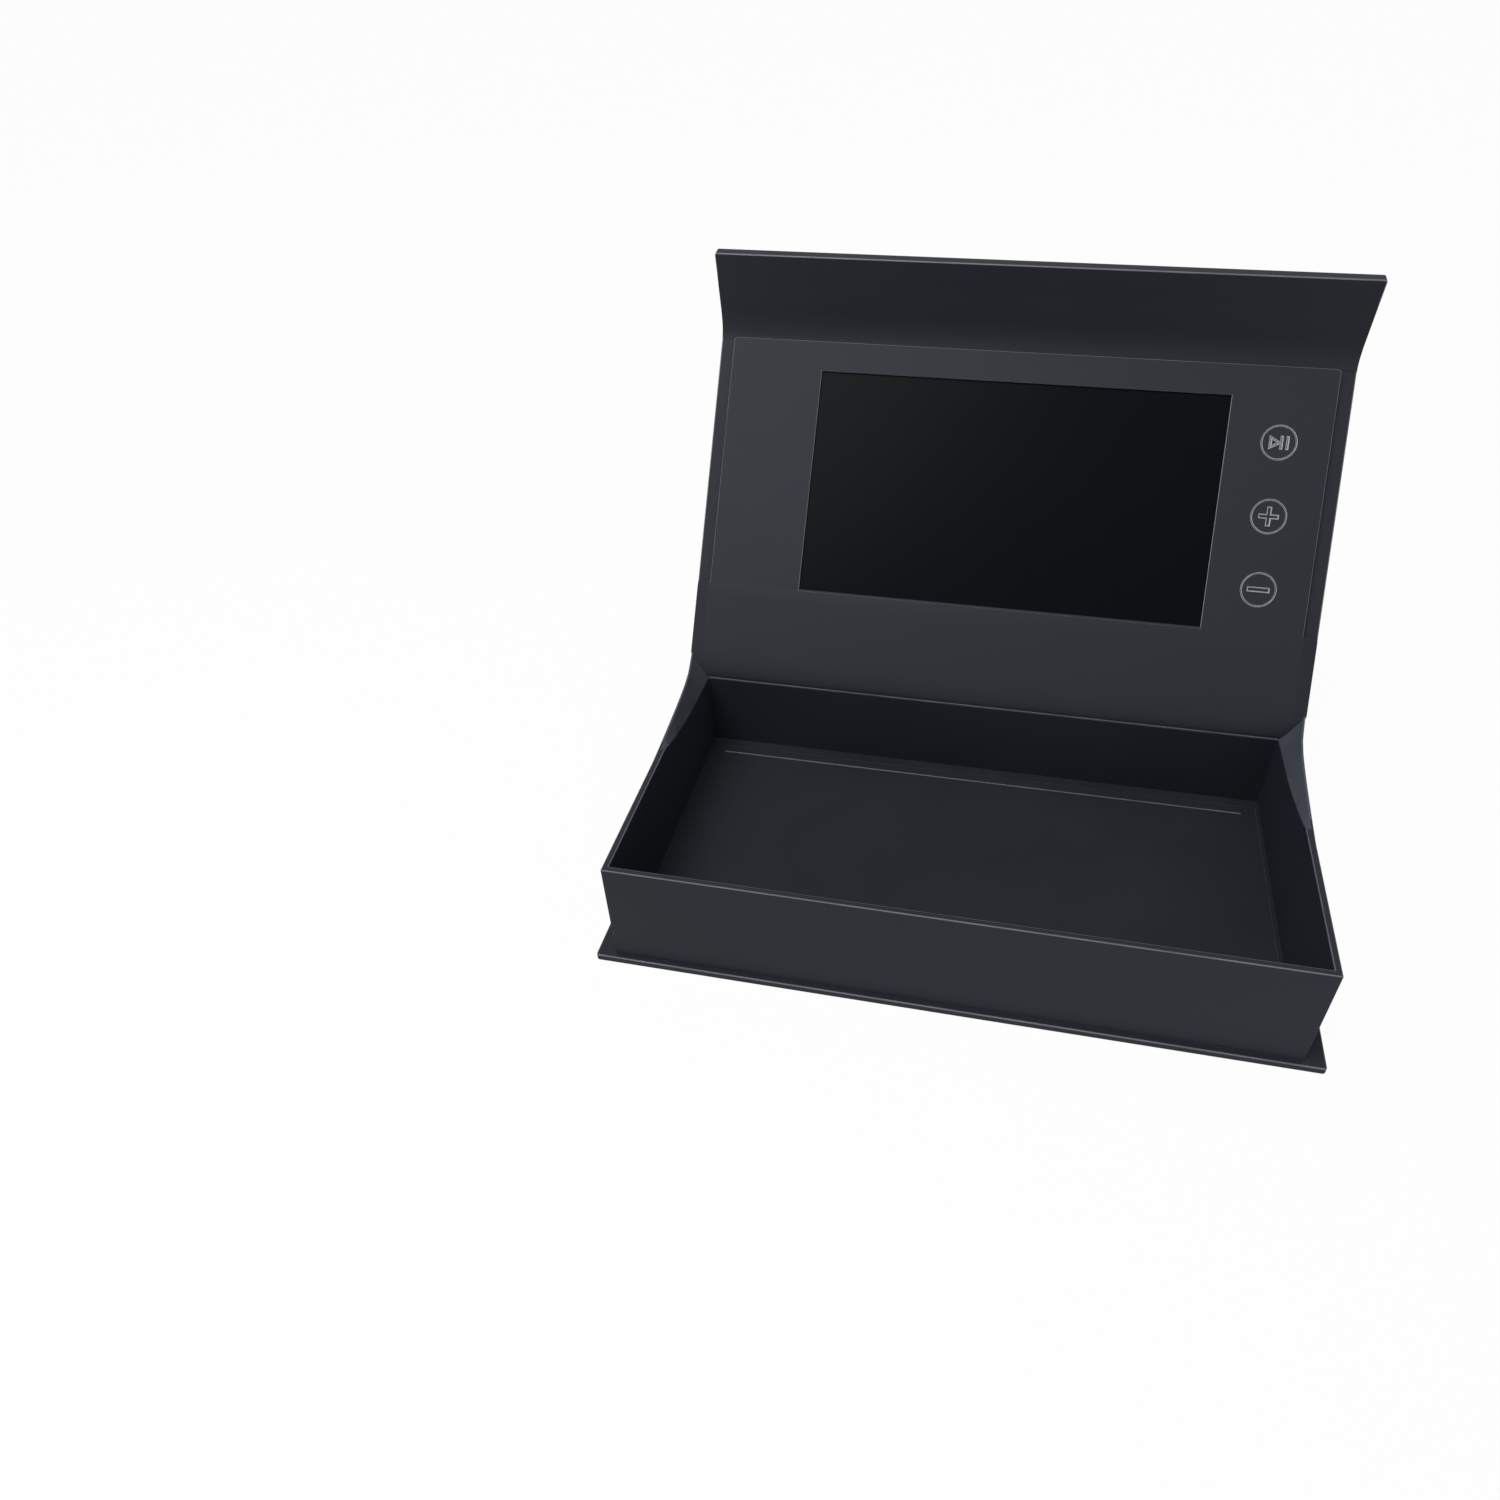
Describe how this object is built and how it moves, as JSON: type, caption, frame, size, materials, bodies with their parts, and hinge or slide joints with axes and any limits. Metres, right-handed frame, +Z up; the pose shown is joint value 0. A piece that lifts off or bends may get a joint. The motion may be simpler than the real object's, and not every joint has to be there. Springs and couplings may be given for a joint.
{
  "type": "lcd video brochure",
  "caption": "Hinged presentation box of wrapped board, with a flat video screen and three push buttons in its lid and a magnetic flap.",
  "frame": {"origin": "middle of the case's underside", "axes": "+X to the right, +Y to the back where the lid is hinged, +Z up"},
  "size_m": [0.239, 0.2106, 0.1779],
  "materials": {
    "wrapped_board": "matte",
    "wrap_paper": "matte",
    "tray_lining": "matte",
    "spacer_board": "matte",
    "panel_paper": "matte",
    "black_plastic": "matte",
    "screen_glass": "gloss",
    "backlight": "satin",
    "foam": "matte",
    "flex_film": "satin",
    "circuit_board": "satin",
    "plated_steel": "satin",
    "battery_pouch": "satin",
    "speaker_plastic": "matte",
    "magnet": "polished"
  },
  "bodies": {
    "case": {"base_board": "wrapped_board", "spine_board": "wrapped_board", "tray_floor": "tray_lining", "tray_front_wall": "wrapped_board", "tray_back_wall": "wrapped_board", "tray_left_wall": "wrapped_board", "tray_right_wall": "wrapped_board", "tray_liner": "tray_lining", "case_magnets": "magnet", "trigger_magnet": "magnet", "left_hinge_ear": "wrap_paper", "right_hinge_ear": "wrap_paper", "lid_hinge_liner": "wrap_paper", "lid_hinge_wrap": "wrap_paper"},
    "lid": {"lid_outer_board": "wrapped_board", "lid_spacer": "spacer_board", "panel_frame": "wrapped_board", "panel_cover": "panel_paper", "lcd_cell": "screen_glass", "lcd_backlight": "backlight", "lcd_pads": "foam", "display_flex": "flex_film", "button_board": "circuit_board", "button_switches": "black_plastic", "driver_board": "circuit_board", "driver_chips": "black_plastic", "lid_sensor": "black_plastic", "usb_socket": "plated_steel", "battery": "battery_pouch", "speaker": "speaker_plastic", "flap_hinge_liner": "wrap_paper", "flap_hinge_wrap": "wrap_paper"},
    "flap": {"flap_board": "wrapped_board", "flap_liner": "wrap_paper", "flap_magnets": "magnet"},
    "play": {"play_button": "panel_paper", "play_plunger": "black_plastic"},
    "volume_up": {"volume_up_button": "panel_paper", "volume_up_plunger": "black_plastic"},
    "volume_down": {"volume_down_button": "panel_paper", "volume_down_plunger": "black_plastic"}
  },
  "joints": [
    {"name": "lid_hinge", "type": "hinge", "parent": "case", "child": "lid", "pos_m": [0, 0.0643, 0.0451], "axis": [1, 0, 0], "range_deg": [-25, 126.25], "deforming": ["lid_hinge_liner", "lid_hinge_wrap"]},
    {"name": "flap_hinge", "type": "hinge", "parent": "lid", "child": "flap", "pos_m": [0, 0.14219, 0.14795], "axis": [1, 0, 0], "range_deg": [-55, 42.4], "deforming": ["flap_hinge_liner", "flap_hinge_wrap"]},
    {"name": "play_press", "type": "slide", "parent": "lid", "child": "play", "axis": [0, 0.8064, -0.5913], "range_m": [0, 0.0004], "stiffness_N_per_m": 1500},
    {"name": "volume_up_press", "type": "slide", "parent": "lid", "child": "volume_up", "axis": [0, 0.8064, -0.5913], "range_m": [0, 0.0004], "stiffness_N_per_m": 1500},
    {"name": "volume_down_press", "type": "slide", "parent": "lid", "child": "volume_down", "axis": [0, 0.8064, -0.5913], "range_m": [0, 0.0004], "stiffness_N_per_m": 1500}
  ]
}
